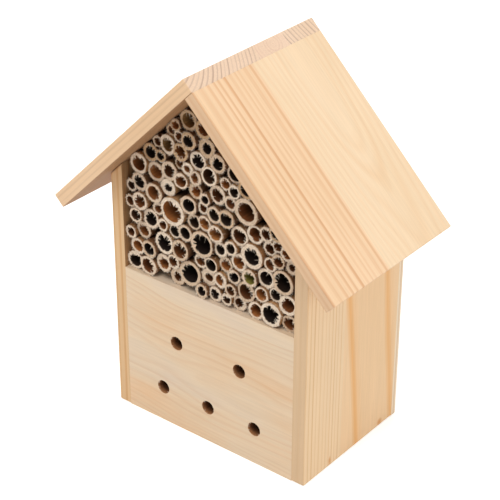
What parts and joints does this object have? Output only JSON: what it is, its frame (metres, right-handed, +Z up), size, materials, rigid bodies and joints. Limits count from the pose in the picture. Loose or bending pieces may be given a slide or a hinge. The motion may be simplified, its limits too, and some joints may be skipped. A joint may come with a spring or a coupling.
{
  "type": "insect hotel",
  "caption": "Small wooden house with a gabled roof, packed with bamboo canes above a drilled front panel, for insects to nest in.",
  "frame": {"origin": "middle of the base, on the surface that the house stands on", "axes": "+Z up, -Y out of the open front, +Y towards the wall behind, +X to the right seen from the front"},
  "size_m": [0.2263, 0.1268, 0.2699],
  "materials": {
    "pine": "untreated planed pine",
    "plywood": "thin pine plywood",
    "bamboo": "dry cut bamboo with sawn ends",
    "zinc_plate": "zinc plated"
  },
  "bodies": {
    "root": {"left_side_board": "pine", "right_side_board": "pine", "front_panel": "pine", "floor_board": "pine", "shelf_board": "pine", "left_roof_board": "pine", "right_roof_board": "pine", "back_panel": "plywood", "hanger_plate": "zinc_plate", "hanger_screw_left": "zinc_plate", "hanger_screw_right": "zinc_plate", "cane_bundle_01": "bamboo", "cane_bundle_02": "bamboo", "cane_bundle_03": "bamboo", "cane_bundle_04": "bamboo", "cane_bundle_05": "bamboo", "cane_bundle_06": "bamboo", "cane_bundle_07": "bamboo", "cane_bundle_08": "bamboo", "cane_bundle_09": "bamboo", "cane_bundle_10": "bamboo", "cane_bundle_11": "bamboo", "cane_bundle_12": "bamboo", "cane_bundle_13": "bamboo", "cane_bundle_14": "bamboo", "cane_bundle_15": "bamboo", "cane_bundle_16": "bamboo", "cane_bundle_17": "bamboo", "cane_bundle_18": "bamboo", "cane_bundle_19": "bamboo", "cane_bundle_20": "bamboo", "cane_bundle_21": "bamboo", "cane_bundle_22": "bamboo", "cane_bundle_23": "bamboo", "cane_bundle_24": "bamboo", "cane_bundle_25": "bamboo", "cane_bundle_26": "bamboo", "cane_bundle_27": "bamboo", "cane_bundle_28": "bamboo", "cane_bundle_29": "bamboo", "cane_bundle_30": "bamboo", "cane_bundle_31": "bamboo", "cane_bundle_32": "bamboo", "cane_bundle_33": "bamboo", "cane_bundle_34": "bamboo", "cane_bundle_35": "bamboo", "cane_bundle_36": "bamboo", "cane_bundle_37": "bamboo", "cane_bundle_38": "bamboo", "cane_bundle_39": "bamboo", "cane_bundle_40": "bamboo", "cane_bundle_41": "bamboo", "cane_bundle_42": "bamboo", "cane_bundle_43": "bamboo", "cane_bundle_44": "bamboo", "cane_bundle_45": "bamboo", "cane_bundle_46": "bamboo", "cane_bundle_47": "bamboo", "cane_bundle_48": "bamboo", "cane_bundle_49": "bamboo"}
  },
  "joints": []
}
